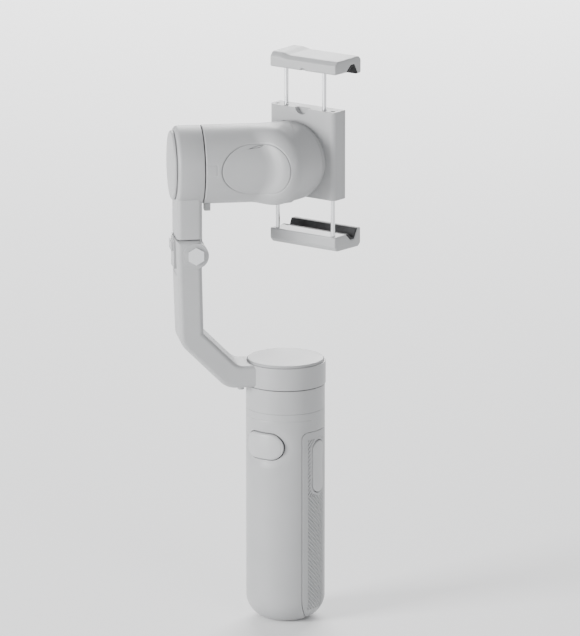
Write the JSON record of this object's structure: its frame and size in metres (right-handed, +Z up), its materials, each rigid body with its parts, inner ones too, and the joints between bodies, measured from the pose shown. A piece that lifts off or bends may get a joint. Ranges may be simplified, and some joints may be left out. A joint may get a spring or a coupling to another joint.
{
  "type": "handheld gimbal stabilizer",
  "caption": "Foldable handheld gimbal that keeps a clamped phone level: round handle, slanted arm, motor drums in series and a spring clamp with sliding jaws on steel rods.",
  "frame": {"origin": "centre of the tripod socket's mouth at the bottom of the handle", "axes": "+Z up the handle along the pan axis, trigger on -Y, zoom rocker on +X, thumb controls on +Y"},
  "size_m": [0.0729, 0.0785, 0.2699],
  "materials": {
    "shell_grey": "fine moulded satin",
    "panel_grey": "fine moulded satin",
    "grip_grey": "grooved satin",
    "key_grey": "smooth satin",
    "inner_plastic": "moulded",
    "dial_dark": "dark moulded",
    "rubber_black": "matt",
    "steel": "machined",
    "polished_steel": "polished",
    "brass": "turned",
    "winding_copper": "lacquered windings",
    "battery_wrap": "shrink wrap",
    "circuit_board": "solder mask",
    "light_guide": "clear diffusing"
  },
  "bodies": {
    "handle": {"handle_front_shell": "shell_grey", "handle_rear_shell": "shell_grey", "grip_panel_right": "grip_grey", "grip_panel_left": "grip_grey", "control_panel": "panel_grey", "indicator_lights": "light_guide", "panel_screws": "steel", "tripod_insert": "brass", "battery_cell": "battery_wrap", "inner_frame": "inner_plastic", "trigger_switch": "inner_plastic", "main_board": "circuit_board", "stick_base": "steel", "mode_switch": "inner_plastic", "rocker_switch": "inner_plastic", "rocker_pin": "steel", "usb_socket": "steel", "pan_collar": "shell_grey", "pan_motor_stator": "winding_copper", "pan_motor_bearing": "steel"},
    "trigger": {"trigger_button": "key_grey"},
    "rocker": {"zoom_rocker": "key_grey"},
    "stick_ring": {"stick_cradle": "steel"},
    "stick": {"stick_cap": "rubber_black"},
    "mode_key": {"mode_button": "key_grey"},
    "lower_arm": {"pan_motor_rotor": "steel", "pan_cap": "shell_grey", "pan_board": "circuit_board", "hub_screws": "steel", "pan_stop_peg": "shell_grey", "lower_arm": "shell_grey", "hinge_pin": "polished_steel"},
    "latch": {"arm_latch": "shell_grey"},
    "upper_arm": {"upper_arm": "shell_grey", "tilt_end_cap": "shell_grey", "tilt_motor_stator": "winding_copper", "tilt_motor_bearing": "steel"},
    "tilt_body": {"tilt_motor_rotor": "steel", "tilt_inlay_cover": "shell_grey", "tilt_body_shell": "shell_grey", "tilt_stop_lug": "shell_grey", "sensor_board": "circuit_board", "roll_motor_stator": "winding_copper", "roll_motor_bearing": "steel"},
    "clamp": {"roll_motor_rotor": "steel", "roll_ring": "shell_grey", "roll_disc": "dial_dark", "clamp_plate": "shell_grey", "clamp_back_cover": "shell_grey", "clamp_pad": "rubber_black", "clamp_springs": "steel", "cover_screws": "steel"},
    "upper_jaw": {"upper_jaw": "shell_grey", "upper_jaw_pad": "rubber_black", "upper_jaw_rods": "polished_steel"},
    "lower_jaw": {"lower_jaw": "shell_grey", "lower_jaw_pad": "rubber_black", "lower_jaw_rods": "polished_steel"}
  },
  "joints": [
    {"name": "pan_turn", "type": "hinge", "parent": "handle", "child": "lower_arm", "pos_m": [0, 0, 0.1142], "axis": [0, 0, 1], "range_deg": [-160, 160]},
    {"name": "arm_fold", "type": "hinge", "parent": "lower_arm", "child": "upper_arm", "pos_m": [-0.03083, -0.03083, 0.1791], "axis": [-0.7071, 0.7071, 0], "range_deg": [0, 36]},
    {"name": "latch_slide", "type": "slide", "parent": "lower_arm", "child": "latch", "axis": [0, 0, -1], "range_m": [0, 0.003], "stiffness_N_per_m": 300, "springref_m": -0.0005},
    {"name": "tilt_turn", "type": "hinge", "parent": "upper_arm", "child": "tilt_body", "pos_m": [0, 0, 0.2204], "axis": [-0.7071, -0.7071, 0], "range_deg": [-120, 120]},
    {"name": "roll_turn", "type": "hinge", "parent": "tilt_body", "child": "clamp", "pos_m": [0, 0, 0.2204], "axis": [0, 1, 0], "range_deg": [-160, 160]},
    {"name": "upper_jaw_slide", "type": "slide", "parent": "clamp", "child": "upper_jaw", "axis": [0, 0, 1], "range_m": [-0.0112, 0.0063]},
    {"name": "lower_jaw_slide", "type": "slide", "parent": "clamp", "child": "lower_jaw", "axis": [0, 0, -1], "range_m": [-0.0112, 0.0063]},
    {"name": "trigger_press", "type": "slide", "parent": "handle", "child": "trigger", "axis": [0, 1, 0], "range_m": [0, 0.0012], "stiffness_N_per_m": 900, "springref_m": -0.0003},
    {"name": "rocker_tilt", "type": "hinge", "parent": "handle", "child": "rocker", "pos_m": [0.015, 0.0012, 0.0762], "axis": [0, 1, 0], "range_deg": [-4, 4], "stiffness_Nm_per_rad": 0.08},
    {"name": "stick_nod", "type": "hinge", "parent": "handle", "child": "stick_ring", "pos_m": [0, 0.0136, 0.088], "axis": [1, 0, 0], "range_deg": [-15, 15], "stiffness_Nm_per_rad": 0.02},
    {"name": "stick_swing", "type": "hinge", "parent": "stick_ring", "child": "stick", "pos_m": [0, 0.0136, 0.088], "axis": [0, 0, 1], "range_deg": [-15, 15], "stiffness_Nm_per_rad": 0.02},
    {"name": "mode_press", "type": "slide", "parent": "handle", "child": "mode_key", "axis": [0, -1, 0], "range_m": [0, 0.001], "stiffness_N_per_m": 900, "springref_m": -0.0003}
  ],
  "couplings": [
    {"joint": "lower_jaw_slide", "follows": "upper_jaw_slide", "ratio": 1}
  ]
}
